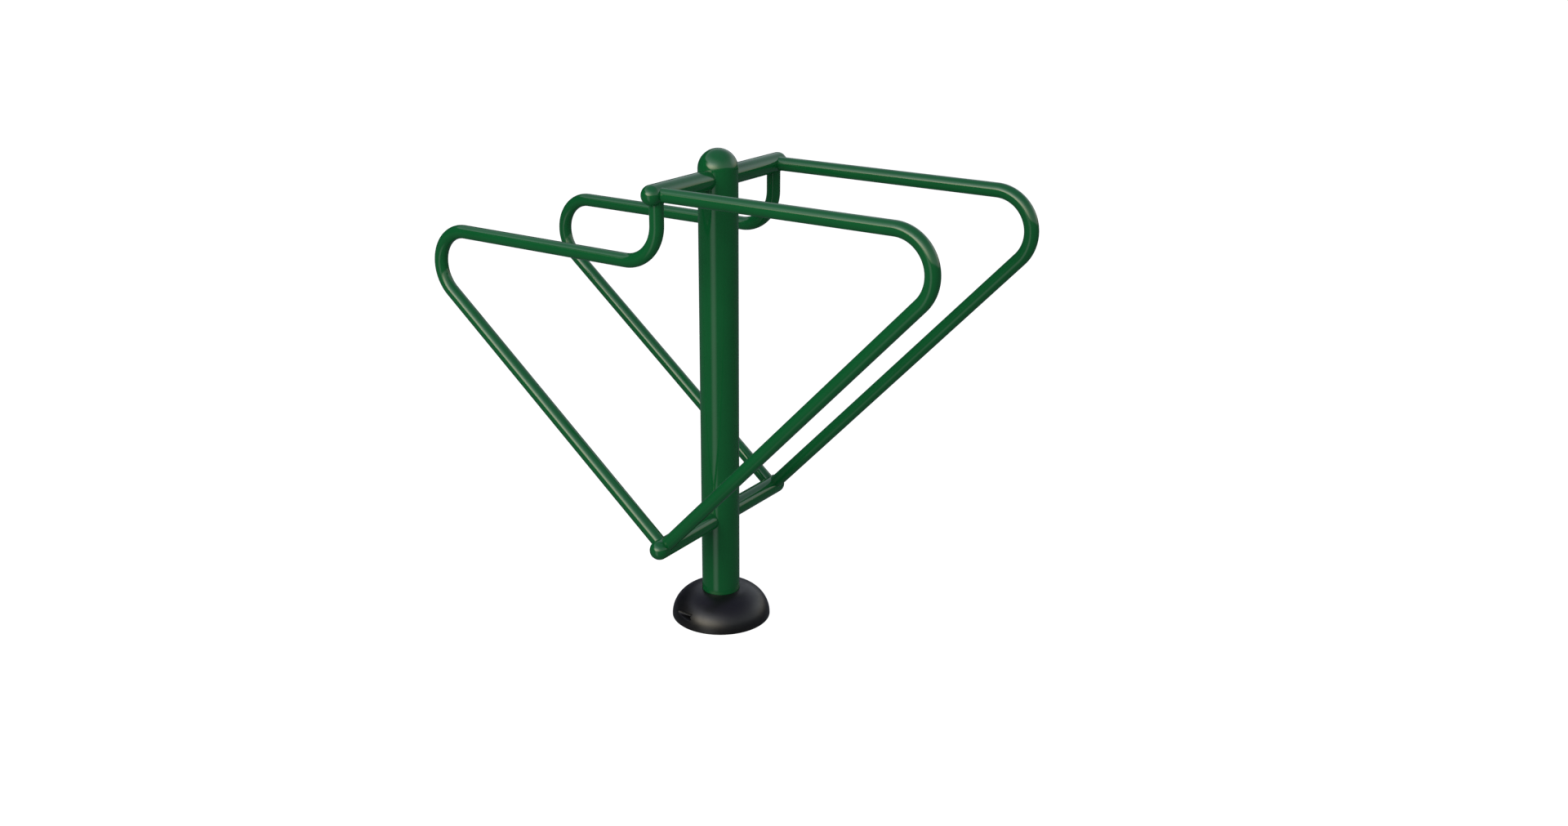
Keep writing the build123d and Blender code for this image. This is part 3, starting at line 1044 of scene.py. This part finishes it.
shank = add_node(
    screw_tree, "GeometryNodeCurveToMesh",
    {"Curve": shank_axis, "Profile Curve": shank_circle, "Fill Caps": True},
)
screw = add_node(screw_tree, "GeometryNodeJoinGeometry")
for part in (shank, head):
    screw_tree.links.new(part.outputs[0], screw.inputs[0])
facing = add_node(
    screw_tree, "GeometryNodeInputNamedAttribute", {"Name": "facing"}, data_type="FLOAT_VECTOR"
)
turn = add_node(screw_tree, "FunctionNodeAlignRotationToVector", {"Vector": facing}, axis="Z")
copies = add_node(
    screw_tree, "GeometryNodeInstanceOnPoints",
    {"Points": given["Geometry"], "Instance": screw, "Rotation": turn},
)
real = add_node(screw_tree, "GeometryNodeRealizeInstances", {"Geometry": copies})
lacquered = add_node(
    screw_tree, "GeometryNodeSetMaterial", {"Geometry": real, "Material": given["Finish"]}
)
screw_tree.links.new(lacquered.outputs[0], result.inputs[0])
print(screw_tree.name, len(screw_tree.nodes), "nodes")

# %% [markdown]
# The places of the two screws come from the CAD node's box. The sizes are those of an M5 screw with
# a round head and a 3 mm key. Each screw sits on its pocket's end wall and reaches to the far end
# of the insert in the other half.

# %% Two screws in their pockets
HEAD_HEIGHT, HEAD_ROUNDING = 0.0034, 0.0016
SHANK_RADIUS = 0.0025
KEY_SIZE, KEY_DEPTH = 0.003, 0.002

screws_low, screws_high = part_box("cover_screws")
head_radius = (screws_high.z - screws_low.z) / 2
screw_height = (screws_low.z + screws_high.z) / 2
across, seat = screws_high.x - head_radius, screws_high.y - HEAD_HEIGHT
screw_points = bpy.data.meshes.new("screw_points")
screw_points.from_pydata([(-across, seat, screw_height), (across, -seat, screw_height)], [], [])
directions = screw_points.attributes.new("facing", "FLOAT_VECTOR", "POINT")
directions.data.foreach_set("vector", [0, 1, 0, 0, -1, 0])
screws_mesh = grow("cover_button_screws", screw_points, screw_tree, {
    "Head Radius": head_radius, "Head Height": HEAD_HEIGHT, "Rounding": HEAD_ROUNDING,
    "Shank Radius": SHANK_RADIUS, "Shank Length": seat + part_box("cover_inserts")[1].y,
    "Key Size": KEY_SIZE, "Key Depth": KEY_DEPTH, "Finish": black_screw,
})
screws_mesh.shade_smooth()
screws_mesh.set_sharp_from_angle(angle=CREASE)
screws = add_object("cover_button_screws", screws_mesh)
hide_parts("cover_screws")
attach(screws, "base_cover")
print("screws at", round(across, 4), round(seat, 4), round(screw_height, 4))
print("screw faces:", len(screws_mesh.polygons))

# %% [markdown]
# The flange, the gussets and the brass inserts are hidden under the cover. Their CAD shapes are
# right, so they stay and only get their finish. The steel shows when the cover is lifted.

# %% Hidden steel and brass
hidden = {"base_flange": powder_coat, "cover_inserts": brass}
hidden.update({f"gusset_{number}": powder_coat for number in range(1, 5)})
for node_name, finish in hidden.items():
    nodes[node_name].data.materials.clear()
    nodes[node_name].data.materials.append(finish)
print("CAD nodes with a new finish:", sorted(hidden))
